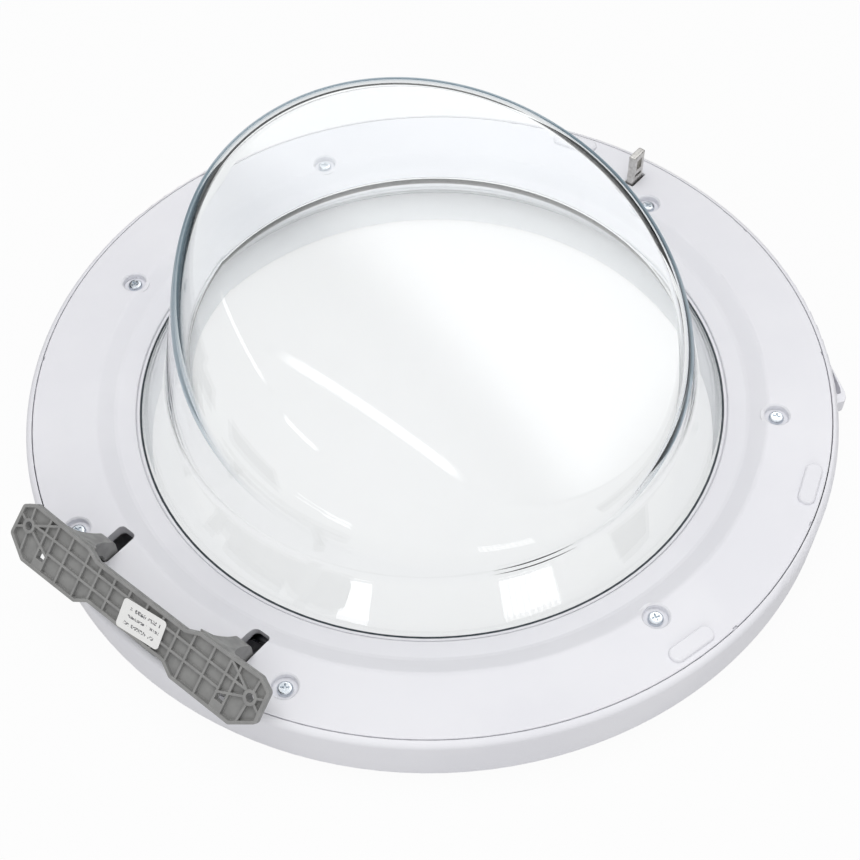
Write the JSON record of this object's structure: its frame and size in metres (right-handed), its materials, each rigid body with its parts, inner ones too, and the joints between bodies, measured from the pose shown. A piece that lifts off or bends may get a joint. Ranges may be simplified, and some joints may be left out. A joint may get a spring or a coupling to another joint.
{
  "type": "washing machine door",
  "caption": "Round front-loader door lying on its front: white cover and ring round a slanted clear glass bowl, with a turning ribbed hinge bracket and a sprung latch hook.",
  "frame": {"origin": "on the door's axis, at the plane of its front face, which is the face that it lies on", "axes": "+Z along the door's axis from the front face to the inner side where the glass bowl stands, +X towards the latch hook, -X towards the hinge, Y along the hinge axis"},
  "size_m": [0.4573, 0.4546, 0.1574],
  "materials": {
    "white_plastic": "satin white moulding",
    "clear_glass": "clear pressed glass",
    "grey_moulding": "fine matt moulding",
    "paper_label": "blank paper label",
    "zinc_screws": "bright zinc plating",
    "nickel_hook": "satin nickel plating",
    "sheet_steel": "zinc-plated sheet",
    "pin_steel": "ground steel",
    "bush_plastic": "plain bearing plastic",
    "seal_rubber": "dark seal rubber"
  },
  "bodies": {
    "door": {"front_cover": "white_plastic", "inner_ring": "white_plastic", "handle_grip": "white_plastic", "door_glass": "clear_glass", "handle_screws": "zinc_screws", "ring_screws": "zinc_screws", "hinge_screws": "zinc_screws", "latch_screws": "zinc_screws", "hinge_carrier": "sheet_steel", "latch_holder": "sheet_steel", "upper_pin_clip": "sheet_steel", "lower_pin_clip": "sheet_steel", "latch_pin_clip": "sheet_steel", "upper_hinge_pin": "pin_steel", "lower_hinge_pin": "pin_steel", "latch_pin": "pin_steel", "latch_spring": "pin_steel", "glass_seal": "seal_rubber"},
    "hinge": {"hinge_bracket": "grey_moulding", "hinge_label": "paper_label", "upper_hinge_bush": "bush_plastic", "lower_hinge_bush": "bush_plastic"},
    "latch": {"latch_hook": "nickel_hook"}
  },
  "joints": [
    {"name": "door_hinge", "type": "hinge", "parent": "door", "child": "hinge", "pos_m": [-0.1965, 0.0093, 0.026], "axis": [0, -1, 0], "range_deg": [-44, 0]},
    {"name": "latch_pivot", "type": "hinge", "parent": "door", "child": "latch", "pos_m": [0.205, 0.0026, 0.025], "axis": [0, 1, 0], "range_deg": [0, 6], "stiffness_Nm_per_rad": 0.5, "springref_deg": -5.73}
  ]
}
